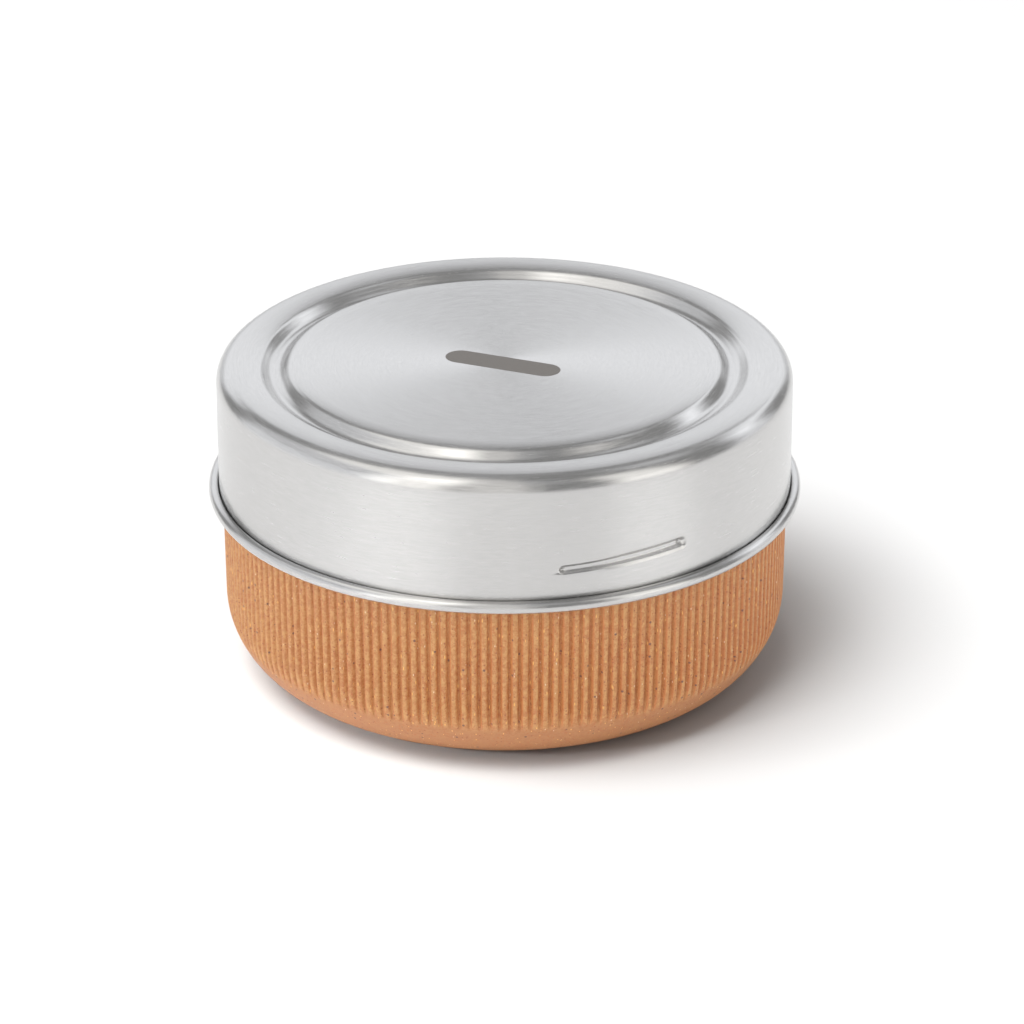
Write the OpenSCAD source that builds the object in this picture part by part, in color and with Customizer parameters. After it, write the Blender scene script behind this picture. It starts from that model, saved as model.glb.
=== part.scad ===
// Lunch bowl: a drawn steel bowl in a ribbed composite sleeve, closed by a twist-on steel lid.
// Millimetres. The origin is at the centre of the base, +Z is up and -Y faces the viewer.

/* [Lid] */
// Outer diameter across the curled hem
hem_d = 160; // [152:1:200]
// Height of the lid, from under the hem to its top
lid_h = 36.7; // [30:0.1:60]
// Thickness of the lid's steel sheet
lid_sheet = 0.6; // [0.4:0.1:0.9]
// Diameter of the curl that makes the hem
hem_tube = 3.3; // [2.6:0.1:4.5]
// Draft of the lid's wall, in degrees
lid_draft = 0.3; // [0:0.1:1]
// Outside radius of the shoulder between wall and top
shoulder_r = 4.3; // [2.4:0.1:5]
// Width of the ring between the groove and the lid's outside
ring_w = 12; // [8:0.1:16]
// Width of the pressed groove around the disc
groove_w = 8; // [7:0.1:9]
// Slope of the groove's walls, in degrees
groove_slope = 60; // [45:1:65]
// Outside radius of the groove's two upper edges
groove_edge_r = 1.6; // [1:0.1:2]
// Inside radius of the groove's floor
groove_floor_r = 2; // [0.8:0.1:2.2]

/* [Twist lock] */
// Number of ramps on the lid, and of lugs on the bowl
lock_count = 3; // [2:1:4]
// Direction of the first ramp's middle, in degrees from +X
ramp_dir = -66.6; // [-90:0.1:90]
// Angle that a ramp spans between the centres of its end dimples
ramp_span = 25.4; // [15:0.1:30]
// Lead of a ramp, in degrees, rising anticlockwise
ramp_tilt = 2.5; // [0:0.1:4]
// Height of a ramp's middle above the middle of the hem
ramp_up = 10.2; // [8:0.1:14]
// Radius of the pressed channel that makes a ramp
ramp_r = 1.4; // [1:0.1:1.6]
// Radius of the dimple at each end of a ramp
dimple_r = 1.9; // [1.8:0.1:2.4]
// How much deeper than the channel the dimples go
dimple_drop = 0.1; // [0.05:0.05:0.2]
// Outside radius of the round lugs pressed out of the bowl's neck
lug_r = 3.5; // [3:0.1:4.5]

/* [Gasket] */
// Thickness of the sealing ring under the lid
gasket_t = 2.6; // [1.5:0.1:4]

/* [Bowl] */
// Thickness of the bowl's steel sheet
bowl_sheet = 0.6; // [0.5:0.1:0.7]
// Room between the bowl's neck and the lid's wall, for lugs and ramps
neck_room = 2.8; // [2.7:0.1:3.2]
// How far the neck steps out over the sleeve
seat_step = 1.05; // [1:0.05:1.6]
// Slope of that step, in degrees from upright
step_slope = 60; // [40:1:65]
// Inside radius of the two bends of that step
step_bend_r = 0.6; // [0.3:0.1:0.6]
// Diameter of the curl that makes the rim
rim_tube = 1.8; // [1.7:0.1:2.1]

/* [Sleeve] */
// Height of the sleeve
sleeve_h = 49; // [40:0.5:70]
// Wall of the sleeve at its top, over the ribs
sleeve_wall = 3.28; // [2.6:0.02:4.5]
// Draft of the ribs' crests, in degrees
sleeve_draft = 0.4; // [0:0.1:1]
// Outside radius of the corner between wall and base
foot_r = 21.4; // [14:0.1:30]
// Chamfer of the sleeve's upper outside edge
sleeve_chamfer = 0.4; // [0.2:0.1:0.6]
// Number of upright ribs
rib_count = 180; // [60:1:200]
// Depth of the grooves between the ribs, at the top of the sleeve
flute_depth = 0.7; // [0.4:0.05:1]
// Draft of the grooves' floors, in degrees
flute_draft = 1.75; // [1:0.05:2]
// Width of a groove's floor
flute_floor = 0.5; // [0.3:0.05:0.8]
// Slope of a groove's sides, in degrees from the radius
flute_slope = 20; // [10:1:25]

/* [Bond] */
// How far the adhesive pad stays inside the flat of the bowl's floor
bond_inset = 6.5; // [4:0.5:30]
// Thickness of the adhesive pad
bond_t = 0.5; // [0.2:0.1:1]

/* [Clearances] */
// Gap between the sleeve and the hem above it
hem_gap = 0.4; // [0.3:0.1:2]
// Gap between a curl's free edge and its wall
curl_gap = 0.13; // [0.1:0.01:0.2]
// Gap around the gasket in its channel
gasket_fit = 0.15; // [0.1:0.05:0.4]
// Gap between the gasket and the bowl's rim
seal_gap = 0.15; // [0.1:0.05:0.4]
// Gap by which the ramps pass the bowl's rim
pass_gap = 0.3; // [0.2:0.05:0.5]
// Gap by which the lugs pass the lid's wall
lug_gap = 0.4; // [0.3:0.05:0.6]
// Gap between a lug and the high end of its ramp when locked
lock_gap = 0.3; // [0.2:0.05:1]
// Gap between lug and ramp when released, in degrees
release_gap = 0.6; // [0.3:0.1:3]
// Radial gap between the bowl and the sleeve
sleeve_fit = 0.15; // [0.1:0.05:0.4]

/* [Hidden] */
$fn = 96;
// How far a cutting shape runs past what it cuts
over = 2;
// Largest gap between a bend and the chords that make it
arc_sag = 0.012;

// Heights of the closed bowl, from the base up
hem_low = sleeve_h + hem_gap;
hem_z = hem_low + hem_tube / 2;
lid_top = hem_low + lid_h;
gasket_top = lid_top - lid_sheet - gasket_fit;
gasket_low = gasket_top - gasket_t;
rim_top = gasket_low - seal_gap;

// Radii, from the hem inwards to the sleeve
lid_in_r = hem_d / 2 - hem_tube;
lid_r = lid_in_r + lid_sheet;
neck_r = lid_in_r - neck_room;
neck_in_r = neck_r - bowl_sheet;
rim_r = neck_in_r + rim_tube;
bowl_r = neck_r - seat_step;
sleeve_in_r = bowl_r + sleeve_fit;
sleeve_r = sleeve_in_r + sleeve_wall;

// Shoulder of the lid, where the wall's draft meets the top
shoulder_z = lid_top - shoulder_r;
shoulder_c = lid_r - shoulder_r * cos(lid_draft)
    - (shoulder_z + shoulder_r * sin(lid_draft) - hem_z) * tan(lid_draft);
function lid_out_r_at(z) = lid_r - (z - hem_z) * tan(lid_draft);

// Pressed groove in the top of the lid
groove_out_r = lid_r - ring_w;
groove_mid_r = groove_out_r - groove_w / 2;
disc_r = groove_out_r - groove_w;
groove_bends = groove_edge_r + groove_floor_r;
groove_run = (groove_w / 2 - groove_bends * sin(groove_slope)) / cos(groove_slope);
groove_depth = groove_bends * (1 - cos(groove_slope)) + groove_run * sin(groove_slope);

// Ramps on the lid and lugs on the bowl
ramp_back_r = ramp_r + lid_sheet;
dimple_back_r = dimple_r + lid_sheet;
dimple_c = rim_r + pass_gap + dimple_back_r;
ramp_c = dimple_c - dimple_back_r + dimple_drop + ramp_back_r;
ramp_z = hem_z + ramp_up;
ramp_high_z = ramp_z + dimple_c * sin(ramp_span / 2) * sin(ramp_tilt);
lug_c = lid_out_r_at(ramp_high_z) - lid_sheet - lug_gap - lug_r;
lock_reach = dimple_back_r + lug_r + lock_gap;
lug_z = ramp_high_z + sqrt(max(0, pow(lock_reach, 2) - pow(dimple_c - lug_c, 2)));
ramp_half = ramp_span / 2 + asin(dimple_back_r / dimple_c);
lug_half = asin(lug_r / neck_r);
lug_dir = ramp_dir - ramp_half - release_gap - lug_half;

// Corner of the sleeve, and the bowl inside it
foot_c = sleeve_r - foot_r * cos(sleeve_draft)
    - (sleeve_h - foot_r + foot_r * sin(sleeve_draft)) * tan(sleeve_draft);
foot_in_r = sleeve_in_r - foot_c;
sleeve_floor = foot_r - foot_in_r;
bowl_low = sleeve_floor + bond_t;
bowl_corner_r = foot_in_r;
bowl_corner_c = bowl_r - bowl_corner_r;
bond_r = bowl_corner_c - bond_inset;
step_out_r = step_bend_r + bowl_sheet;
step_run = (seat_step - (step_bend_r + step_out_r) * (1 - cos(step_slope))) / sin(step_slope);

// Points along an arc about c, from one angle to another
function arc(c, r, from, to) =
    let (steps = ceil(abs(to - from) / (2 * acos(1 - arc_sag / r))))
    [for (i = [0:steps]) let (a = from + (to - from) * i / steps) c + r * [cos(a), sin(a)]];

// Angle left open between a curl's free edge and its wall
function curl_open(tube, sheet) = acos((tube / 2 - sheet - curl_gap) / (tube / 2));

// Closed outline of a sheet, from the points of its outside and of its inside
function sheet_outline(outside, inside) =
    concat(outside, [for (i = [len(inside) - 1:-1:0]) inside[i]]);

// Side of the lid's sheet at a depth under its outside: disc, groove, ring, shoulder, wall and hem
function lid_side(depth) =
    let (edge_z = lid_top - groove_edge_r)
    let (floor_z = lid_top - groove_depth + groove_floor_r)
    let (hem_c = [lid_in_r + hem_tube / 2, hem_z])
    concat(
        [[0, lid_top - depth]],
        arc([disc_r, edge_z], groove_edge_r - depth, 90, 90 - groove_slope),
        arc([groove_mid_r, floor_z], groove_floor_r + depth, 270 - groove_slope, 270 + groove_slope),
        arc([groove_out_r, edge_z], groove_edge_r - depth, 90 + groove_slope, 90),
        arc([shoulder_c, shoulder_z], shoulder_r - depth, 90, lid_draft),
        arc(hem_c, hem_tube / 2 - lid_sheet + depth, 180, 540 - curl_open(hem_tube, lid_sheet))
    );

// Side of the bowl's sheet at a depth under its outside: floor, corner, wall, step, neck and rim
function bowl_side(depth) =
    let (corner = [bowl_corner_c, bowl_low + bowl_corner_r])
    let (step_rise = (step_bend_r + step_out_r) * sin(step_slope) + step_run * cos(step_slope))
    let (rim_c = [neck_in_r + rim_tube / 2, rim_top - rim_tube / 2])
    concat(
        [[0, bowl_low + depth]],
        arc(corner, bowl_corner_r - depth, -90, 0),
        arc([bowl_r + step_bend_r, sleeve_h], step_bend_r + depth, 180, 180 - step_slope),
        arc([neck_r - step_out_r, sleeve_h + step_rise], step_out_r - depth, -step_slope, 0),
        arc(rim_c, rim_tube / 2 - bowl_sheet + depth, 180, curl_open(rim_tube, bowl_sheet) - 180)
    );

// Channel pressed into a wall, with a wider and slightly deeper dimple at each end
module pressed_channel(channel_r, end_r) {
    rotate(-ramp_span / 2) rotate_extrude(angle = ramp_span) translate([ramp_c, 0]) circle(channel_r);
    for (end = [-ramp_span / 2, ramp_span / 2]) rotate(end) translate([dimple_c, 0, 0]) sphere(end_r);
}

// Repeats a pressed feature at each station of the twist lock
module at_stations(dir, z, tilt) {
    for (i = [0:lock_count - 1])
        rotate(dir + i * 360 / lock_count) translate([0, 0, z]) rotate([tilt, 0, 0]) children();
}

module lid_shell() {
    wall_mid_r = lid_out_r_at(ramp_z) - lid_sheet / 2;
    color("silver") difference() {
        union() {
            rotate_extrude() polygon(sheet_outline(lid_side(0), lid_side(lid_sheet)));
            intersection() {
                at_stations(ramp_dir, ramp_z, ramp_tilt) pressed_channel(ramp_back_r, dimple_back_r);
                cylinder(r = wall_mid_r, h = lid_top);
            }
        }
        at_stations(ramp_dir, ramp_z, ramp_tilt) pressed_channel(ramp_r, dimple_r);
    }
}

module lid_gasket() {
    round_r = shoulder_r - lid_sheet - gasket_fit;
    color("whitesmoke") rotate_extrude() intersection() {
        union() {
            translate([shoulder_c, shoulder_z]) circle(round_r);
            translate([shoulder_c, shoulder_z - gasket_t]) square([round_r, gasket_t]);
            translate([groove_out_r, gasket_low]) square([shoulder_c - groove_out_r, gasket_t]);
        }
        translate([groove_out_r, gasket_low]) square([shoulder_c + round_r - groove_out_r, gasket_t]);
    }
}

module steel_bowl() {
    neck_mid_r = neck_r - bowl_sheet / 2;
    color("gainsboro") difference() {
        union() {
            rotate_extrude() polygon(sheet_outline(bowl_side(0), bowl_side(bowl_sheet)));
            difference() {
                at_stations(lug_dir, lug_z, 0) translate([lug_c, 0, 0]) sphere(lug_r);
                cylinder(r = neck_mid_r, h = rim_top);
            }
        }
        at_stations(lug_dir, lug_z, 0) translate([lug_c, 0, 0]) sphere(lug_r - bowl_sheet);
    }
}

// Half section of the sleeve without its grooves: a cup with one even wall
module sleeve_section() {
    foot = [foot_c, foot_r];
    difference() {
        union() {
            translate(foot) circle(foot_r);
            polygon([[0, 0], [foot_c, 0], foot + foot_r * [cos(sleeve_draft), -sin(sleeve_draft)],
                [sleeve_r - sleeve_chamfer * tan(sleeve_draft), sleeve_h - sleeve_chamfer],
                [sleeve_r - sleeve_chamfer, sleeve_h], [0, sleeve_h]]);
        }
        translate(foot) circle(foot_in_r);
        translate([0, sleeve_floor]) square([foot_c, sleeve_h]);
        translate([0, foot_r]) square([sleeve_in_r, sleeve_h]);
        translate([-2 * foot_r, 0]) square([2 * foot_r, sleeve_h]);
    }
}

// Straight cutter of one groove, whose floor leans in until it runs out of the rounded corner
module flute() {
    wide = flute_floor / 2 + sleeve_wall * tan(flute_slope);
    translate([sleeve_r - flute_depth, 0, sleeve_h]) rotate([0, flute_draft, 0])
        translate([0, 0, -sleeve_h]) linear_extrude(sleeve_h + over)
            polygon([[0, -flute_floor / 2], [sleeve_wall, -wide], [sleeve_wall, wide],
                [0, flute_floor / 2]]);
}

module ribbed_sleeve() {
    color("peru") difference() {
        rotate_extrude() sleeve_section();
        for (i = [0:rib_count - 1]) rotate((i + 0.5) * 360 / rib_count - 90) flute();
    }
}

module bond_pad() {
    color("dimgray") translate([0, 0, sleeve_floor]) cylinder(r = bond_r, h = bond_t);
}

lid_shell();
lid_gasket();
steel_bowl();
ribbed_sleeve();
bond_pad();
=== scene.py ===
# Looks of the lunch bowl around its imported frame: metres, z up, -y towards the viewer
import math

import bmesh
import bpy
from mathutils import Matrix, Vector


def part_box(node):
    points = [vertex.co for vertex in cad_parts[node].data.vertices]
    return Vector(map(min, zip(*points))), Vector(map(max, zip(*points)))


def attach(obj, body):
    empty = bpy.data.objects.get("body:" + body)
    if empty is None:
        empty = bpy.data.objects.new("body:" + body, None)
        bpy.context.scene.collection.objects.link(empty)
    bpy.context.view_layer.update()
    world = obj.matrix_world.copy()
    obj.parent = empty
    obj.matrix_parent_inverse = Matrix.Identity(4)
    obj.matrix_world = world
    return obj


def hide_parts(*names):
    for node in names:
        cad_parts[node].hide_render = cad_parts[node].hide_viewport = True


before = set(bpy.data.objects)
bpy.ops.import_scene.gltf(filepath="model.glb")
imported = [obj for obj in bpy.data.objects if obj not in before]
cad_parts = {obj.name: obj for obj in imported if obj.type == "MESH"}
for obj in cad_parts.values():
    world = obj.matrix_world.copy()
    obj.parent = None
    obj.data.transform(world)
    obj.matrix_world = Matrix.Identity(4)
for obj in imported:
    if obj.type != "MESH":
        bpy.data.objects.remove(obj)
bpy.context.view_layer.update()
scene = bpy.context.scene
mm = 0.001
print("frame loaded:", sorted(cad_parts))


# Camera at the photo's place, with its long lens
camera = {
    "place": (0.00196, -1.03286, 0.52861),
    "pitch": 25.27,     # degrees below the horizon
    "lens": 147.6,      # mm on a 36 mm sensor
    "sensor": 36.0,
}


def placeCamera():
    data = bpy.data.cameras.new("viewer")
    data.lens = camera["lens"]
    data.sensor_width = camera["sensor"]
    viewer = bpy.data.objects.new("viewer", data)
    viewer.location = camera["place"]
    viewer.rotation_euler = (math.radians(90 - camera["pitch"]), 0, 0)
    scene.collection.objects.link(viewer)
    scene.camera = viewer


placeCamera()


# Sections are drawn in the xz plane in mm: a tip that runs along lines and round bends
def startSection(r, z):
    bm = bmesh.new()
    return bm, bm.verts.new((r * mm, 0, z * mm))


def lineTo(bm, tip, r, z, cuts=0):
    step = (Vector((r * mm, 0, z * mm)) - tip.co) / (cuts + 1)
    for _ in range(cuts + 1):
        tip = bmesh.ops.extrude_vert_indiv(bm, verts=[tip])["verts"][0]
        tip.co += step
    return tip


def bendTo(bm, tip, r, z, turn, steps):  # round the centre (r, z), clockwise with z up
    made = bmesh.ops.spin(bm, geom=[tip], cent=(r * mm, 0, z * mm), axis=(0, 1, 0),
                          angle=math.radians(turn), steps=steps)
    return made["geom_last"][0]


# Turns a section round the axis, in stretches of (degrees, steps)
def turnSection(bm, stretches, start=0.0):
    bmesh.ops.rotate(bm, verts=bm.verts, cent=(0, 0, 0), matrix=Matrix.Rotation(math.radians(start), 3, "Z"))
    edge = bm.verts[:] + bm.edges[:]
    for degrees, steps in stretches:
        made = bmesh.ops.spin(bm, geom=edge, cent=(0, 0, 0), axis=(0, 0, 1),
                              angle=math.radians(degrees), steps=steps)
        edge = made["geom_last"]
    bmesh.ops.remove_doubles(bm, verts=bm.verts, dist=0.002 * mm)
    bmesh.ops.recalc_face_normals(bm, faces=bm.faces)


def finishPiece(bm, name, material, body, slot, *nodes):
    for face in bm.faces:
        face.smooth = True
    mesh = bpy.data.meshes.new(name)
    bm.to_mesh(mesh)
    bm.free()
    piece = bpy.data.objects.new(name, mesh)
    piece.data.materials.append(material)
    scene.collection.objects.link(piece)
    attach(piece, body)
    if nodes:
        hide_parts(*nodes)
    print("made", name, "with", len(mesh.polygons), "faces")
    return piece


# Material helpers
def startMaterial(name):
    material = bpy.data.materials.new(name)
    material.use_nodes = True
    tree = material.node_tree
    return material, tree, tree.nodes["Principled BSDF"]


def addNode(tree, kind, inputs=None, **settings):
    made = tree.nodes.new("ShaderNode" + kind)
    for key, value in settings.items():
        setattr(made, key, value)
    for key, value in (inputs or {}).items():
        if isinstance(value, bpy.types.NodeSocket):
            tree.links.new(value, made.inputs[key])
        else:
            made.inputs[key].default_value = value
    return made


def calc(tree, operation, a, b=0.0, c=0.0):
    return addNode(tree, "Math", {0: a, 1: b, 2: c}, operation=operation).outputs[0]


def ramp(tree, value, low, high, lowTo=0.0, highTo=1.0):
    made = addNode(tree, "MapRange", {0: value, 1: low, 2: high, 3: lowTo, 4: highTo},
                   interpolation_type="SMOOTHSTEP")
    return made.outputs[0]


def mixColour(tree, share, a, b):
    made = addNode(tree, "Mix", data_type="RGBA")
    for socket, value in ((made.inputs[0], share), (made.inputs[6], a), (made.inputs[7], b)):
        if isinstance(value, bpy.types.NodeSocket):
            tree.links.new(value, socket)
        else:
            socket.default_value = value
    return made.outputs[2]


def grey(value):
    return (value, value, value, 1.0)


# Steel that was brushed round the axis: streaks follow the angle, on the top and on the wall alike
brushing = {
    "fine": (5200, 9),     # streaks for each metre across, and how often they break round a turn
    "broad": (2900, 22),
    "tone": (0.035, 0.035),      # how far fine and broad streaks change the colour
    "roughness": (0.04, 0.02),   # and the roughness
    "bump": 0.02,          # mm
}


def streaks(tree, perMetre, perTurn):
    place = addNode(tree, "TexCoord").outputs["Object"]
    flat = addNode(tree, "VectorMath", {0: place, 1: (1, 1, 0)}, operation="MULTIPLY").outputs[0]
    away = addNode(tree, "VectorMath", {0: flat}, operation="LENGTH").outputs["Value"]
    height = addNode(tree, "SeparateXYZ", {0: place}).outputs["Z"]
    around = addNode(tree, "VectorMath", {0: flat}, operation="NORMALIZE").outputs[0]
    around = addNode(tree, "VectorMath", {0: around, 3: perTurn}, operation="SCALE").outputs[0]
    across = addNode(tree, "CombineXYZ", {2: calc(tree, "MULTIPLY", away, perMetre)}).outputs[0]
    spot = addNode(tree, "VectorMath", {0: around, 1: across}, operation="ADD").outputs[0]
    noise = addNode(tree, "TexNoise", {"Vector": spot, "W": calc(tree, "MULTIPLY", height, perMetre),
                                       "Scale": 1.0, "Detail": 2.0, "Roughness": 0.6},
                    noise_dimensions="4D")
    return noise.outputs[0]


def brushedSteel(name, colour, roughness, anisotropy):
    material, tree, shader = startMaterial(name)
    fine = streaks(tree, *brushing["fine"])
    broad = streaks(tree, *brushing["broad"])

    def waver(middle, fineBy, broadBy):
        return calc(tree, "ADD", ramp(tree, fine, 0.3, 0.7, -fineBy, fineBy),
                    ramp(tree, broad, 0.3, 0.7, middle - broadBy, middle + broadBy))

    tone = waver(1.0, *brushing["tone"])
    tinted = addNode(tree, "VectorMath", {0: colour, 3: tone}, operation="SCALE").outputs[0]
    tree.links.new(tinted, shader.inputs["Base Color"])
    tree.links.new(waver(roughness, *brushing["roughness"]), shader.inputs["Roughness"])
    bump = addNode(tree, "Bump", {"Strength": 0.06, "Distance": brushing["bump"] * mm, "Height": fine})
    tree.links.new(bump.outputs[0], shader.inputs["Normal"])
    tangent = addNode(tree, "Tangent", direction_type="RADIAL", axis="Z")
    tree.links.new(tangent.outputs[0], shader.inputs["Tangent"])
    shader.inputs["Metallic"].default_value = 1.0
    shader.inputs["Anisotropic"].default_value = anisotropy
    shader.inputs["Anisotropic Rotation"].default_value = 0.25
    return material


# Lid: one pressed sheet, with its outside drawn from the middle to the curled hem
lidLow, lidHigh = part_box("lid_shell")
lid = {
    "top": lidHigh.z / mm,
    "hemLow": lidLow.z / mm,
    "hemR": lidHigh.x / mm,
    "sheet": 0.6,
    "hemTube": 3.3,
    "hemOpen": 55.0,      # degrees between the curl's free edge and the wall
    "draft": 0.3,         # degrees
    "shoulderR": 4.3,
    "softR": 40.0,        # soft crown of the ring and of the disc's border
    "discR": 53.0,        # end of the disc's flat
    "crownR": 71.0,       # highest line of the ring
    "ringW": 11.0,        # from the groove to the wall's outside
    "grooveW": 9.7,
    "grooveSlope": 48.0,  # degrees
    "grooveEdgeR": 2.4,
    "grooveFloorR": 2.9,
    "endStep": 0.26,      # degrees between columns at the ends of the ramps, along them and elsewhere
    "rampStep": 0.75,
    "plainStep": 3.0,
    "fineRow": 0.12,      # between rows at the ramps and elsewhere on the wall
    "plainRow": 2.5,
    "colour": (0.592, 0.587, 0.58),
    "roughness": 0.22,
    "anisotropy": 0.85,
}
twistRamp = {
    "count": 3,
    "dir": -66.3,         # degrees from +x to the first ramp's middle
    "span": 24.8,         # degrees between the middles of its ends
    "tilt": 2.5,          # degrees, rising anticlockwise
    "up": 10.0,           # above the hem's middle
    "depth": 1.0,
    "floor": (0.5, 0.35),     # from the channel's middle line down and up to the ends of its floor
    "edge": (1.2, 1.5),       # and to its edges at the wall
    "blend": 0.3,         # to either side of the middle line, where the lower half turns into the upper
    "haloDepth": 0.4,     # shallow dish around the channel
    "haloHalf": 2.1,
    "haloFrom": 0.7,      # where the dish starts, as a share of the way to the channel's edge
    "haloLow": 0.2,       # share of the dish that is left at the lower end
    "haloGrow": (-0.6, 0.1),  # where the dish grows to its full depth, in half lengths of the ramp
    "margin": 1.2,        # fine rows beyond the dish
    "endDepth": 0.25,     # how much deeper the two ends go
    "endHalf": (0.2, 1.0),    # from an end's middle to the edges of its floor and of its slope
    "tailDepth": 0.2,     # faint crease that runs on from the lower end
    "tailHalf": 0.7,
    "tailLong": (0.6, 4.2),   # from the lower end to where the crease starts to fade, and is gone
    "tailDrop": 0.4,      # below the channel's middle line
    "endReach": 3.6,      # degrees of finer columns to either side of an end
}


def smoothShare(value, low, high):
    share = min(1.0, max(0.0, (value - low) / (high - low)))
    return share * share * (3 - 2 * share)


def rampDepth(along, up, half):     # mm pressed in at a place measured from the middle of a ramp
    tilt = math.radians(twistRamp["tilt"])
    u = along * math.cos(tilt) + up * math.sin(tilt)
    w = up * math.cos(tilt) - along * math.sin(tilt)
    away = math.hypot(max(0.0, abs(u) - half), w)
    upper = smoothShare(w, -twistRamp["blend"], twistRamp["blend"])
    floor, edge = (low + (high - low) * upper for low, high in (twistRamp["floor"], twistRamp["edge"]))
    depth = twistRamp["depth"] * (1 - smoothShare(away, floor, edge))
    grown = smoothShare(u / half, *twistRamp["haloGrow"])
    dish = twistRamp["haloLow"] + (1 - twistRamp["haloLow"]) * grown
    dish *= 1 - smoothShare(away, twistRamp["haloFrom"] * edge, twistRamp["haloHalf"])
    depth += twistRamp["haloDepth"] * dish
    atEnd = math.hypot(abs(u) - half, w)
    depth += twistRamp["endDepth"] * (1 - smoothShare(atEnd, *twistRamp["endHalf"]))
    if u < -half:
        crease = 1 - smoothShare(abs(w + twistRamp["tailDrop"]), 0.0, twistRamp["tailHalf"])
        depth += twistRamp["tailDepth"] * crease * (1 - smoothShare(-u - half, *twistRamp["tailLong"]))
    return depth


def makeLid(material):
    slope, draft = math.radians(lid["grooveSlope"]), math.radians(lid["draft"])
    top, softR = lid["top"], lid["softR"]
    edgeR, floorR, shoulderR = lid["grooveEdgeR"], lid["grooveFloorR"], lid["shoulderR"]
    hemZ = lid["hemLow"] + lid["hemTube"] / 2
    hemC = lid["hemR"] - lid["hemTube"] / 2
    wallR = lid["hemR"] - lid["hemTube"] + lid["sheet"]
    floorC = wallR - lid["ringW"] - lid["grooveW"] / 2
    bends = edgeR + floorR
    deep = bends * (1 - math.cos(slope)) \
        + (lid["grooveW"] / 2 - bends * math.sin(slope)) * math.tan(slope)
    floorZ = top - deep + floorR
    shoulderC = wallR - shoulderR - (top - shoulderR - hemZ) * math.tan(draft)

    def softTurn(middle, bendC, bendR):     # degrees of the soft crown up to a bend, and how far it falls
        turn = math.asin(abs(bendC - middle) / (softR - bendR))
        return math.degrees(turn), (softR - bendR) * (1 - math.cos(turn))

    bm, tip = startSection(0, top)
    tip = lineTo(bm, tip, lid["discR"], top, cuts=5)
    edgeC = floorC - lid["grooveW"] / 2
    turn, drop = softTurn(lid["discR"], edgeC, edgeR)
    tip = bendTo(bm, tip, lid["discR"], top - softR, turn, 4)
    tip = bendTo(bm, tip, edgeC, top - edgeR - drop, lid["grooveSlope"] - turn, 6)
    tip = lineTo(bm, tip, floorC - floorR * math.sin(slope), floorZ - floorR * math.cos(slope), cuts=1)
    tip = bendTo(bm, tip, floorC, floorZ, -2 * lid["grooveSlope"], 12)
    edgeC = floorC + lid["grooveW"] / 2
    turn, drop = softTurn(lid["crownR"], edgeC, edgeR)
    edgeZ = top - edgeR - drop
    tip = lineTo(bm, tip, edgeC - edgeR * math.sin(slope), edgeZ + edgeR * math.cos(slope), cuts=1)
    tip = bendTo(bm, tip, edgeC, edgeZ, lid["grooveSlope"] - turn, 6)
    tip = bendTo(bm, tip, lid["crownR"], top - softR, turn, 4)
    turn, drop = softTurn(lid["crownR"], shoulderC, shoulderR)
    tip = bendTo(bm, tip, lid["crownR"], top - softR, turn, 4)
    tip = bendTo(bm, tip, shoulderC, top - shoulderR - drop, 90 - turn - lid["draft"], 12)
    rampZ = hemZ + twistRamp["up"]
    reach = twistRamp["haloHalf"] + twistRamp["margin"]
    plainRow, fineRow = lid["plainRow"], lid["fineRow"]
    for z, row in ((rampZ + reach, plainRow), (rampZ - reach, fineRow), (hemZ, plainRow)):
        fall = tip.co.z / mm - z
        tip = lineTo(bm, tip, wallR - (z - hemZ) * math.tan(draft), z, cuts=int(fall / row))
    bendTo(bm, tip, hemC, hemZ, lid["hemOpen"] - 360, 18)

    half = wallR * math.radians(twistRamp["span"] / 2)
    pitch = 360 / twistRamp["count"]
    ends, along = 2 * twistRamp["endReach"], twistRamp["span"] - 2 * twistRamp["endReach"]
    plain = pitch - along - 2 * ends
    stretches = [(ends, round(ends / lid["endStep"])), (along, round(along / lid["rampStep"])),
                 (ends, round(ends / lid["endStep"])), (plain, round(plain / lid["plainStep"]))]
    turnSection(bm, stretches * twistRamp["count"], twistRamp["dir"] - along / 2 - ends)
    for vert in bm.verts:
        away = math.hypot(vert.co.x, vert.co.y) / mm
        up = vert.co.z / mm - rampZ
        if abs(up) > reach or abs(away - wallR) > 1:
            continue
        turn = math.degrees(math.atan2(vert.co.y, vert.co.x)) - twistRamp["dir"]
        along = math.radians((turn + pitch / 2) % pitch - pitch / 2) * wallR
        share = 1 - rampDepth(along, up, half) / away
        vert.co.x *= share
        vert.co.y *= share
    bm.normal_update()
    bmesh.ops.solidify(bm, geom=bm.faces[:], thickness=lid["sheet"] * mm)
    finishPiece(bm, "lid_pressing", material, "lid", "lid_steel", "lid_shell")


makeLid(brushedSteel("lidSteel", lid["colour"], lid["roughness"], lid["anisotropy"]))


# Bare mark on the middle of the lid: a thin dark pill
mark = {
    "long": 32.5,
    "wide": 8.3,
    "turn": -22.0,        # degrees
    "place": (-0.5, -2.4),
    "proud": 0.02,
    "sunk": 0.1,
    "colour": (0.27, 0.25, 0.232),
}


def markMaterial():
    material, tree, shader = startMaterial("etchedMark")
    grain = streaks(tree, 5200, 7)
    shade = ramp(tree, grain, 0.3, 0.7, 0.93, 1.07)
    tinted = addNode(tree, "VectorMath", {0: mark["colour"], 3: shade}, operation="SCALE").outputs[0]
    tree.links.new(tinted, shader.inputs["Base Color"])
    tree.links.new(ramp(tree, grain, 0.3, 0.7, 0.5, 0.6), shader.inputs["Roughness"])
    shader.inputs["Metallic"].default_value = 0.6
    return material


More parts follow.
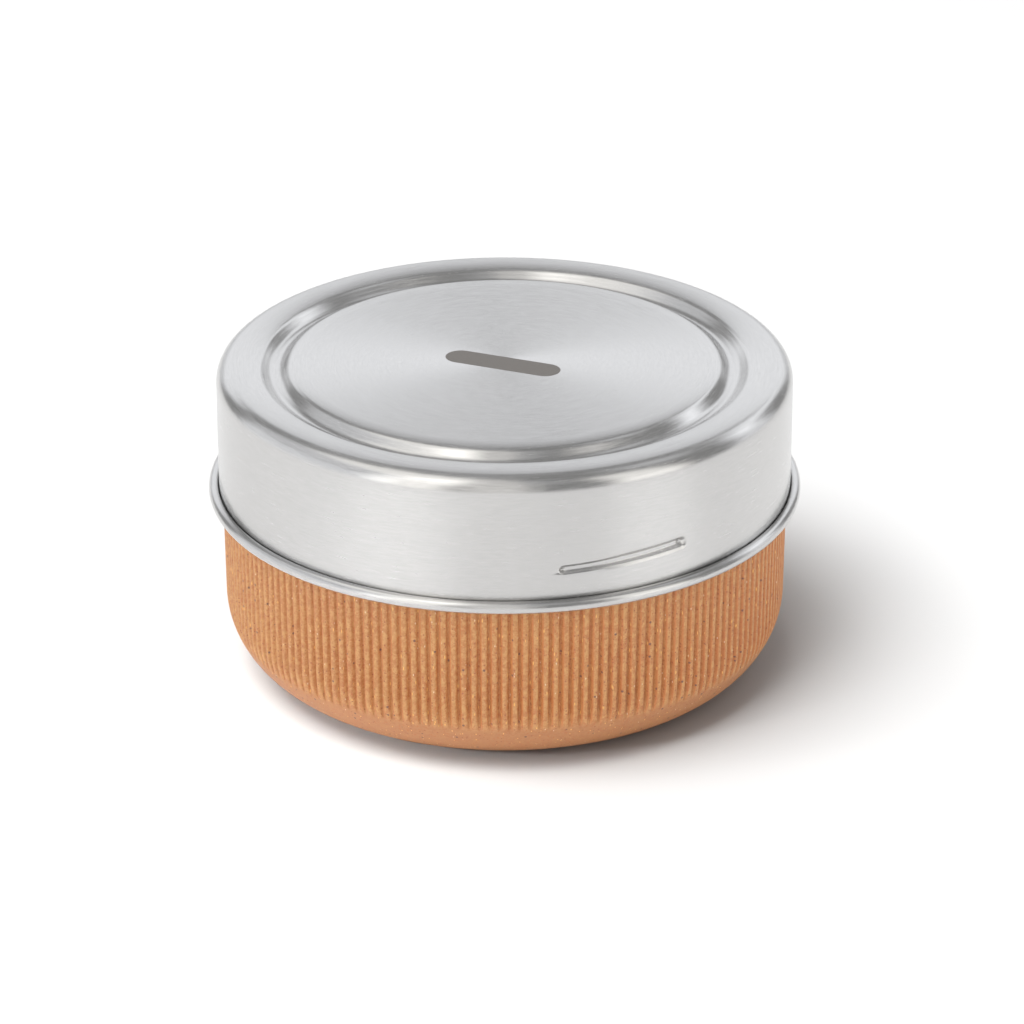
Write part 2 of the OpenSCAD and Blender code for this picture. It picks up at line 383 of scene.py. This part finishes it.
def makeMark(material):
    bm = bmesh.new()
    half, reach = mark["wide"] / 2, (mark["long"] - mark["wide"]) / 2
    tip = bm.verts.new((reach * mm, -half * mm, 0))
    for side in (1, -1):
        tip = bmesh.ops.spin(bm, geom=[tip], cent=(side * reach * mm, 0, 0), axis=(0, 0, 1),
                             angle=math.pi, steps=24)["geom_last"][0]
        if side == 1:
            far = bm.verts.new((-reach * mm, half * mm, 0))
            bm.edges.new((tip, far))
            tip = far
    bm.verts.ensure_lookup_table()
    bm.edges.new((tip, bm.verts[0]))
    face = bmesh.ops.contextual_create(bm, geom=bm.edges[:])["faces"]
    made = bmesh.ops.extrude_face_region(bm, geom=face)
    lifted = [v for v in made["geom"] if isinstance(v, bmesh.types.BMVert)]
    bmesh.ops.translate(bm, verts=lifted, vec=(0, 0, (mark["proud"] + mark["sunk"]) * mm))
    bmesh.ops.recalc_face_normals(bm, faces=bm.faces)
    bmesh.ops.rotate(bm, verts=bm.verts, cent=(0, 0, 0),
                     matrix=Matrix.Rotation(math.radians(mark["turn"]), 3, "Z"))
    x, y = mark["place"]
    bmesh.ops.translate(bm, verts=bm.verts, vec=(x * mm, y * mm, (lid["top"] - mark["sunk"]) * mm))
    piece = finishPiece(bm, "lid_mark", material, "lid", "lid_steel")
    for polygon in piece.data.polygons:
        polygon.use_smooth = False


makeMark(markMaterial())


# Sleeve: ribs made once as a narrow strip, turned round the axis, then closed by foot and inside
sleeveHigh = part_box("ribbed_sleeve")[1]
sleeve = {
    "height": sleeveHigh.z / mm,
    "outR": sleeveHigh.x / mm,
    "wall": 3.28,
    "draft": 0.4,        # degrees
    "footR": 21.4,
    "edgeR": 0.4,        # round of the upper edges
    "ribs": 180,
    "depth": 0.7,        # of the grooves at the top
    "grooveDraft": 1.75,
    "floorHalf": 0.25,
    "grooveSlope": 20.0,
    "soften": 0.2,       # round of crests and valleys
    "runOut": 25.0,      # degrees of the corner that hold the grooves' ends
    "ribEnd": (12.5, 15.5),  # heights between which the painted groove shade fades in and the painted foot shade fades out
    "footSteps": 360,
    "insideSteps": 180,
}


# Moulded wood fibre: mottled, with specks and short fibres, plus painted shade: darker and redder in the
# grooves and on the right side of each, and darker on the foot
wood = {
    "mottle": ((0.515, 0.192, 0.052, 1), (0.66, 0.348, 0.132, 1)),
    # share and colour of what lies over it
    "cloud": (0.3, (0.64, 0.315, 0.095, 1)),
    # painted shade in the grooves: darker and redder
    "groove": (0.22, (0.46, 0.16, 0.06, 1)),
    "paintedFlankShade": (0.7, (0.60, 0.19, 0.045, 1)),      # painted shade and bounce colour on the right side of each groove
    # painted shade: darker foot below the ribs, where the base curves under
    "foot": (0.65, (0.46, 0.18, 0.068, 1)),
    "rust": (0.6, (0.52, 0.14, 0.035, 1)),
    # strength and colour, cells for each metre, inner and outer size, share of cells, turn and stretch
    "specks": (
        (0.75, (0.36, 0.085, 0.03, 1), 900, 0.12, 0.28, 0.42),
        (0.85, (0.13, 0.05, 0.04, 1), 560, 0.13, 0.24, 0.12),
        (0.85, (0.95, 0.55, 0.15, 1), 800, 0.09, 0.15, 0.42, (0.6, 0.3, 0.0), (1, 1, 0.28)),
        (0.85, (0.92, 0.52, 0.16, 1), 800, 0.09, 0.15, 0.42, (0.2, -1.1, 0.4), (1, 1, 0.28)),
        (0.8, (0.92, 0.74, 0.52, 1), 900, 0.08, 0.14, 0.25, (1.3, 0.5, 0.2), (1, 1, 0.4)),
    ),
}


def spots(tree, place, perMetre, low, high, share, turn=(0, 0, 0), stretch=(1, 1, 1)):
    spot = addNode(tree, "Mapping", {"Vector": place, "Rotation": turn, "Scale": stretch}).outputs[0]
    cell = addNode(tree, "TexVoronoi", {"Vector": spot, "Scale": perMetre})
    pick = addNode(tree, "SeparateColor", {0: cell.outputs["Color"]}).outputs[0]
    return calc(tree, "MULTIPLY", ramp(tree, cell.outputs["Distance"], low, high, 1.0, 0.0),
                calc(tree, "LESS_THAN", pick, share))


def speckledComposite():
    material, tree, shader = startMaterial("woodComposite")
    place = addNode(tree, "TexCoord").outputs["Object"]
    way = addNode(tree, "SeparateXYZ", {0: place})
    turn = calc(tree, "DEGREES", calc(tree, "ARCTAN2", way.outputs["Y"], way.outputs["X"]))
    halfRib = 180 / sleeve["ribs"]
    aside = calc(tree, "WRAP", calc(tree, "ADD", turn, 90 + halfRib), halfRib, -halfRib)
    ribLow, ribHigh = sleeve["ribEnd"]
    ribbed = ramp(tree, way.outputs["Z"], ribLow * mm, ribHigh * mm)

    def noise(scale, detail, roughness=0.5):
        return addNode(tree, "TexNoise", {"Vector": place, "Scale": scale, "Detail": detail,
                                          "Roughness": roughness}).outputs[0]

    def over(base, mask, share, colour):
        return mixColour(tree, calc(tree, "MULTIPLY", mask, share), base, colour)

    def onRibs(middle, inner, outer):   # mask of a stripe along every rib, in degrees
        off = calc(tree, "ABSOLUTE", calc(tree, "SUBTRACT", aside, middle))
        return calc(tree, "MULTIPLY", ramp(tree, off, inner, outer, 1.0, 0.0), ribbed)

    mottle = noise(800.0, 5.0, 0.7)
    base = mixColour(tree, ramp(tree, mottle, 0.36, 0.64), *wood["mottle"])
    base = over(base, ramp(tree, noise(70.0, 3.0), 0.3, 0.7), *wood["cloud"])
    # painted shade: grooves darker and redder
    base = over(base, onRibs(0.0, 0.2, 0.45), *wood["groove"])
    # painted shade and bounce colour on one side of each groove
    base = over(base, onRibs(0.5, 0.06, 0.24), *wood["paintedFlankShade"])
    # painted shade on the foot below the ribs
    base = over(base, calc(tree, "SUBTRACT", 1.0, ribbed), *wood["foot"])
    base = over(base, ramp(tree, noise(1700.0, 2.0), 0.57, 0.67), *wood["rust"])
    for strength, colour, *cells in wood["specks"]:
        base = over(base, spots(tree, place, *cells), strength, colour)
    tree.links.new(base, shader.inputs["Base Color"])
    tree.links.new(ramp(tree, mottle, 0.3, 0.7, 0.55, 0.68), shader.inputs["Roughness"])
    bump = addNode(tree, "Bump", {"Strength": 0.25, "Distance": 0.06 * mm, "Height": mottle})
    tree.links.new(bump.outputs[0], shader.inputs["Normal"])
    shader.inputs["Specular IOR Level"].default_value = 0.85
    return material


# Places across half a rib, from the groove's middle to the crest's: mm across, and mm out from the wall
def ribPlaces(r, z):
    draft = math.radians(sleeve["grooveDraft"])
    floor = sleeve["outR"] - sleeve["depth"] - (sleeve["height"] - z) * math.tan(draft)
    depth = max(0.0, r - floor)
    soft = min(sleeve["soften"], 0.4 * depth)
    lean = math.tan(math.radians(sleeve["grooveSlope"]))
    foot, edge = sleeve["floorHalf"], sleeve["floorHalf"] + depth * lean
    crest = math.pi * r / sleeve["ribs"]
    return [(0.0, -depth), (max(0.4 * foot, foot - soft), -depth), (foot + soft * lean, soft - depth),
            (edge - soft * lean, -soft), (edge + soft, 0.0), (crest, 0.0)]


def makeSleeve(material):
    draft = math.radians(sleeve["draft"])
    height, edgeR, footR = sleeve["height"], sleeve["edgeR"], sleeve["footR"]
    straight = height - footR + footR * math.sin(draft)
    footC = sleeve["outR"] - footR * math.cos(draft) - straight * math.tan(draft)
    inR = sleeve["outR"] - sleeve["wall"]
    inFootR = inR - footC
    floorZ = footR - inFootR

    # ribbed strip, from the top edge down over the first part of the corner
    bm, tip = startSection(sleeve["outR"] - edgeR, height)
    tip = bendTo(bm, tip, sleeve["outR"] - edgeR, height - edgeR, 90, 3)
    tip = lineTo(bm, tip, footC + footR * math.cos(draft), footR - footR * math.sin(draft), cuts=3)
    bendTo(bm, tip, footC, footR, sleeve["runOut"] - sleeve["draft"], 9)
    halfRib = 180 / sleeve["ribs"]
    columns = 5     # one fewer than the places that ribPlaces gives
    bmesh.ops.spin(bm, geom=bm.verts[:] + bm.edges[:], cent=(0, 0, 0), axis=(0, 0, 1),
                   angle=math.radians(halfRib), steps=columns)
    for vert in bm.verts:
        r, z = math.hypot(vert.co.x, vert.co.y) / mm, vert.co.z / mm
        column = round(math.degrees(math.atan2(vert.co.y, vert.co.x)) / halfRib * columns)
        across, out = ribPlaces(r, z)[column]
        turn = across / r
        vert.co = Vector(((r + out) * math.cos(turn) * mm, (r + out) * math.sin(turn) * mm, vert.co.z))
    bmesh.ops.mirror(bm, geom=bm.verts[:] + bm.edges[:] + bm.faces[:], axis="Y", merge_dist=0.001 * mm)
    bmesh.ops.rotate(bm, verts=bm.verts, cent=(0, 0, 0),
                     matrix=Matrix.Rotation(math.radians(-90 + halfRib), 3, "Z"))
    strip = bm.verts[:] + bm.edges[:] + bm.faces[:]
    bmesh.ops.spin(bm, geom=strip, cent=(0, 0, 0), axis=(0, 0, 1), angle=math.radians(360 - 2 * halfRib),
                   steps=sleeve["ribs"] - 1, use_duplicate=True)
    bmesh.ops.remove_doubles(bm, verts=bm.verts, dist=0.004 * mm)
    ribTop = [e for e in bm.edges if e.is_boundary and min(v.co.z for v in e.verts) > (height - 0.1) * mm]
    ribLow = [e for e in bm.edges if e.is_boundary and max(v.co.z for v in e.verts) < (footR - 2) * mm]
    print("ribs joined:", len(ribTop), "edges above,", len(ribLow), "below")

    # foot and base, then the inside, each with fewer steps
    def addTurned(part, steps):
        turnSection(part, [(360, steps)], -90)
        mesh = bpy.data.meshes.new("part")
        part.to_mesh(mesh)
        part.free()
        before = set(bm.edges)
        bm.from_mesh(mesh)
        bpy.data.meshes.remove(mesh)
        return [e for e in bm.edges if e not in before and e.is_boundary]

    angle = math.radians(sleeve["runOut"] + 1.0)    # leaves a gap to bridge
    part, tip = startSection(footC + footR * math.cos(angle), footR - footR * math.sin(angle))
    tip = bendTo(part, tip, footC, footR, 90 - math.degrees(angle), 12)
    lineTo(part, tip, 0, 0, cuts=2)
    footLoop = addTurned(part, sleeve["footSteps"])
    bmesh.ops.bridge_loops(bm, edges=ribLow + footLoop)
    part, tip = startSection(inR + edgeR, height)
    tip = bendTo(part, tip, inR + edgeR, height - edgeR, -90, 3)
    tip = lineTo(part, tip, inR, footR, cuts=2)
    tip = bendTo(part, tip, footC, footR, 90, 8)
    lineTo(part, tip, 0, floorZ, cuts=2)
    mouthLoop = addTurned(part, sleeve["insideSteps"])
    bmesh.ops.bridge_loops(bm, edges=ribTop + mouthLoop)
    bmesh.ops.recalc_face_normals(bm, faces=bm.faces)
    finishPiece(bm, "sleeve_ribbed", material, "bowl", "composite", "ribbed_sleeve")


makeSleeve(speckledComposite())


# Steel bowl: seen when the lid is off
bowlLow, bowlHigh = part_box("steel_bowl")
bowl = {
    "low": bowlLow.z / mm,
    "rimTop": bowlHigh.z / mm,
    "sheet": 0.6,
    "neckR": 73.9,
    "step": 1.05,
    "stepSlope": 60.0,   # degrees
    "stepBendR": 0.6,
    "cornerR": 18.31,
    "rimTube": 1.8,
    "rimOpen": 79.0,     # degrees
    "lugR": 3.5,
    "lugC": 72.74,
    "lugZ": 65.6,
    "lugDir": -84.45,    # degrees
    "lugRow": 0.35,      # between rows at the lugs and elsewhere on the neck
    "plainRow": 3.0,
    "lugMargin": 0.6,    # fine rows and columns beyond a lug
    "lugSteps": 24,      # columns along a lug and up to the next one
    "plainSteps": 44,
    "colour": (0.70, 0.695, 0.685),
    "roughness": 0.3,
    "anisotropy": 0.5,
}


def makeBowl(material):
    slope = math.radians(bowl["stepSlope"])
    bowlR = bowl["neckR"] - bowl["step"]
    cornerC, cornerZ = bowlR - bowl["cornerR"], bowl["low"] + bowl["cornerR"]
    bendIn, bendOut = bowl["stepBendR"], bowl["stepBendR"] + bowl["sheet"]
    run = (bowl["step"] - (bendIn + bendOut) * (1 - math.cos(slope))) / math.sin(slope)
    rise = (bendIn + bendOut) * math.sin(slope) + run * math.cos(slope)
    seat = sleeve["height"]
    bm, tip = startSection(0, bowl["low"])
    tip = lineTo(bm, tip, cornerC, bowl["low"], cuts=4)
    tip = bendTo(bm, tip, cornerC, cornerZ, -90, 16)
    tip = lineTo(bm, tip, bowlR, seat, cuts=3)
    tip = bendTo(bm, tip, bowlR + bendIn, seat, bowl["stepSlope"], 4)
    neckBend = (bowl["neckR"] - bendOut, seat + rise)
    tip = lineTo(bm, tip, neckBend[0] + bendOut * math.cos(slope), neckBend[1] - bendOut * math.sin(slope))
    tip = bendTo(bm, tip, *neckBend, -bowl["stepSlope"], 4)
    reach = bowl["lugR"] + bowl["lugMargin"]
    for z, row in ((bowl["lugZ"] - reach, bowl["plainRow"]), (bowl["lugZ"] + reach, bowl["lugRow"])):
        tip = lineTo(bm, tip, bowl["neckR"], z, cuts=int((z - tip.co.z / mm) / row))
    rimC = (bowl["neckR"] - bowl["sheet"] + bowl["rimTube"] / 2, bowl["rimTop"] - bowl["rimTube"] / 2)
    tip = lineTo(bm, tip, bowl["neckR"], rimC[1], cuts=4)
    bendTo(bm, tip, *rimC, 360 - bowl["rimOpen"], 16)

    pitch = 360 / twistRamp["count"]
    wide = 2 * math.degrees(reach / bowl["neckR"])
    stretches = [(wide, bowl["lugSteps"]), (pitch - wide, bowl["plainSteps"])]
    turnSection(bm, stretches * twistRamp["count"], bowl["lugDir"] - wide / 2)
    for vert in bm.verts:
        up = vert.co.z / mm - bowl["lugZ"]
        away = math.hypot(vert.co.x, vert.co.y) / mm
        if abs(up) > reach or abs(away - bowl["neckR"]) > 0.5:
            continue
        turn = math.degrees(math.atan2(vert.co.y, vert.co.x)) - bowl["lugDir"]
        along = math.radians((turn + pitch / 2) % pitch - pitch / 2) * away
        ball = bowl["lugR"] ** 2 - along ** 2 - up ** 2
        rise = max(0.0, bowl["lugC"] + math.sqrt(max(0.0, ball)) - bowl["neckR"])
        vert.co.x *= 1 + rise / away
        vert.co.y *= 1 + rise / away
    bmesh.ops.reverse_faces(bm, faces=bm.faces)     # the rim's curl had turned them inwards
    bm.normal_update()
    bmesh.ops.solidify(bm, geom=bm.faces[:], thickness=bowl["sheet"] * mm)
    finishPiece(bm, "bowl_drawn", material, "bowl", "bowl_steel", "steel_bowl")


makeBowl(brushedSteel("bowlSteel", bowl["colour"], bowl["roughness"], bowl["anisotropy"]))


# Sealing ring in the lid's channel
gasketLow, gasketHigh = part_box("lid_gasket")
gasket = {
    "low": gasketLow.z / mm,
    "top": gasketHigh.z / mm,
    "outR": gasketHigh.x / mm,
    "topGap": 0.32,      # clears the lid's soft crown
    "outGap": 0.06,      # and its wall
    "inR": 66.6,
    "cornerR": 3.5,      # follows the lid's shoulder
    "edgeR": 0.5,
    "steps": 160,
}


def siliconeMaterial():
    material, tree, shader = startMaterial("sealSilicone")
    place = addNode(tree, "TexCoord").outputs["Object"]
    bloom = addNode(tree, "TexNoise", {"Vector": place, "Scale": 220.0, "Detail": 3.0}).outputs[0]
    tint = mixColour(tree, ramp(tree, bloom, 0.3, 0.7), (0.70, 0.70, 0.68, 1), (0.80, 0.80, 0.78, 1))
    tree.links.new(tint, shader.inputs["Base Color"])
    tree.links.new(ramp(tree, bloom, 0.3, 0.7, 0.42, 0.55), shader.inputs["Roughness"])
    shader.inputs["Subsurface Weight"].default_value = 0.3
    shader.inputs["Subsurface Radius"].default_value = (0.002, 0.002, 0.002)
    return material


def makeGasket(material):
    low, top = gasket["low"], gasket["top"] - gasket["topGap"]
    inR, outR = gasket["inR"], gasket["outR"] - gasket["outGap"]
    big, small = gasket["cornerR"], gasket["edgeR"]
    cornerTurn = math.acos((low - top + big) / big)
    cornerC = outR - big * math.sin(cornerTurn)
    bm, first = startSection(inR + small, low)
    tip = bendTo(bm, first, inR + small, low + small, 90, 4)
    tip = lineTo(bm, tip, inR, top - small)
    tip = bendTo(bm, tip, inR + small, top - small, 90, 4)
    tip = lineTo(bm, tip, cornerC, top, cuts=3)
    tip = bendTo(bm, tip, cornerC, top - big, math.degrees(cornerTurn), 8)
    bm.edges.new((tip, first))
    turnSection(bm, [(360, gasket["steps"])])
    finishPiece(bm, "seal_ring", material, "seal", "silicone", "lid_gasket")


makeGasket(siliconeMaterial())


# The bond pad keeps its solid
def bondMaterial():
    material, tree, shader = startMaterial("curedAdhesive")
    place = addNode(tree, "TexCoord").outputs["Object"]
    cloud = addNode(tree, "TexNoise", {"Vector": place, "Scale": 150.0, "Detail": 4.0}).outputs[0]
    tint = mixColour(tree, ramp(tree, cloud, 0.3, 0.7), grey(0.1), grey(0.15))
    tree.links.new(tint, shader.inputs["Base Color"])
    tree.links.new(ramp(tree, cloud, 0.3, 0.7, 0.5, 0.7), shader.inputs["Roughness"])
    return material


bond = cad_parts["bond_pad"]
bond.data.materials.clear()
bond.data.materials.append(bondMaterial())


# Pale floor in a soft studio: panels of light all round, and lights that brighten the floor alone
studio = {
    "floor": 4.0,         # metres, as all lengths here
    "floorColour": grey(0.42),
    "dim": 0.34,          # between the panels
    "warm": (1.02, 1.0, 0.965),
    "cool": (0.965, 0.985, 1.03),
    # azimuth from the viewer to the right, elevation, half width, half height, softness, brightness, tint
    "panels": {
        "keyLeft": (-38, 20, 15, 52, 8, 1.2, "warm"),
        "leftLow": (-84, 3, 38, 23, 7, 0.72, "cool"),
        "leftMid": (-90, 42, 44, 14, 8, 0.5, "cool"),
        "leftHigh": (-85, 70, 54, 16, 8, 0.95, "warm"),
        "front": (-3, 2, 13, 30, 8, 0.6, "warm"),
        "frontHigh": (-8, 62, 20, 30, 8, 0.55, "warm"),
        "rightFront": (58, 18, 15, 42, 8, 0.95, "warm"),
        "rightHigh": (130, 60, 25, 7, 6, 0.45, "cool"),
        "rightSide": (112, -4, 13, 18, 7, 0.7, "cool"),
        "rightPanel": (116, 24, 10, 9, 6, 0.95, "cool"),
        "backRight": (138, 36, 22, 7, 5, 1.0, "cool"),
        "back": (183, 21, 33, 9, 5, 0.88, "cool"),
        "backLow": (183, -3, 33, 15, 6, 0.46, "cool"),
        "backHigh": (-168, 67, 18, 21, 8, 0.12, "cool"),
        "rightTop": (24, 66, 12, 18, 8, 0.2, "cool"),
        "rightLow": (60, 9, 16, 9, 5, 0.35, "warm"),
    },
    # azimuth, elevation, distance, size and watts of boxes that light the floor alone
    "floorBoxes": {"overhead": (-50, 66, 6.0, 3.8, 685.0), "fromLeft": (-88, 55, 6.0, 1.6, 70.0)},
    "poolHeight": 1.2,    # of the lamps above the pools
    # place on the floor, radius, watts and softness of pools of light, which the lid's wall mirrors
    "pools": {"left": (-0.13, -0.185, 0.11, 40.0, 0.03), "farLeft": (-0.205, -0.07, 0.11, 8.0, 0.03),
              "right": (0.172, -0.136, 0.09, 32.0, 0.03), "farRight": (0.15, 0.02, 0.14, 12.0, 0.1)},
    # place, aim, radius, watts and softness of a lamp that lights the floor under the round of the foot
    "underLamp": ((-0.8, -0.6, 0.42), (-0.045, -0.03, 0.0), 0.06, 90.0, 0.06),
}


def panelLight(tree, turn, lift, azimuth, elevation, halfWide, halfHigh, soft, brightness, tint):
    aside = calc(tree, "WRAP", calc(tree, "SUBTRACT", turn, azimuth), 180.0, -180.0)
    above = calc(tree, "SUBTRACT", lift, elevation)
    wide = ramp(tree, calc(tree, "ABSOLUTE", aside), halfWide - soft, halfWide + soft, 1.0, 0.0)
    high = ramp(tree, calc(tree, "ABSOLUTE", above), halfHigh - soft, halfHigh + soft, 1.0, 0.0)
    share = calc(tree, "MULTIPLY", calc(tree, "MULTIPLY", wide, high), brightness)
    return addNode(tree, "VectorMath", {0: studio[tint], 3: share}, operation="SCALE").outputs[0]


def addFloorLight(kind, name, place, aim, watts, floorOnly):
    data = bpy.data.lights.new(name, kind)
    data.energy = watts
    light = bpy.data.objects.new(name, data)
    light.location = place
    light.rotation_euler = (Vector(place) - Vector(aim)).to_track_quat("Z", "Y").to_euler()
    scene.collection.objects.link(light)
    light.light_linking.receiver_collection = floorOnly
    return data


def addSpot(name, place, aim, radius, watts, soft, floorOnly):
    data = addFloorLight("SPOT", name, place, aim, watts, floorOnly)
    data.spot_blend, data.shadow_soft_size = 1.0, soft
    data.spot_size = 2 * math.atan(radius / (Vector(place) - Vector(aim)).length)


def makeStudio():
    bm = bmesh.new()
    bmesh.ops.create_grid(bm, x_segments=1, y_segments=1, size=studio["floor"] / 2)
    mesh = bpy.data.meshes.new("floor")
    bm.to_mesh(mesh)
    bm.free()
    floor = bpy.data.objects.new("floor", mesh)
    material, tree, shader = startMaterial("paleFloor")
    shader.inputs["Base Color"].default_value = studio["floorColour"]
    shader.inputs["Roughness"].default_value = 0.9
    shader.inputs["Specular IOR Level"].default_value = 0.1
    mesh.materials.append(material)
    scene.collection.objects.link(floor)

    world = bpy.data.worlds.new("studio")
    scene.world = world
    world.use_nodes = True
    tree = world.node_tree
    way = addNode(tree, "SeparateXYZ", {0: addNode(tree, "TexCoord").outputs["Generated"]})
    toViewer = calc(tree, "MULTIPLY", way.outputs["Y"], -1.0)
    turn = calc(tree, "DEGREES", calc(tree, "ARCTAN2", way.outputs["X"], toViewer))
    lift = calc(tree, "DEGREES", calc(tree, "ARCSINE", way.outputs["Z"]))
    light = addNode(tree, "CombineXYZ", {0: studio["dim"], 1: studio["dim"], 2: studio["dim"]}).outputs[0]
    for values in studio["panels"].values():
        panel = panelLight(tree, turn, lift, *values)
        light = addNode(tree, "VectorMath", {0: light, 1: panel}, operation="ADD").outputs[0]
    tree.links.new(light, tree.nodes["Background"].inputs["Color"])

    floorOnly = bpy.data.collections.new("floorOnly")
    floorOnly.objects.link(floor)
    for name, (azimuth, elevation, distance, size, watts) in studio["floorBoxes"].items():
        around, above = math.radians(azimuth), math.radians(elevation)
        place = distance * Vector((math.sin(around) * math.cos(above), -math.cos(around) * math.cos(above),
                                   math.sin(above)))
        addFloorLight("AREA", name, place, (0, 0, 0), watts, floorOnly).size = size
    for name, (x, y, *values) in studio["pools"].items():
        addSpot(name, (x, y, studio["poolHeight"]), (x, y, 0), *values, floorOnly)
    addSpot("underLamp", *studio["underLamp"], floorOnly)
    scene.view_settings.view_transform = "Standard"
    print("studio set")


makeStudio()
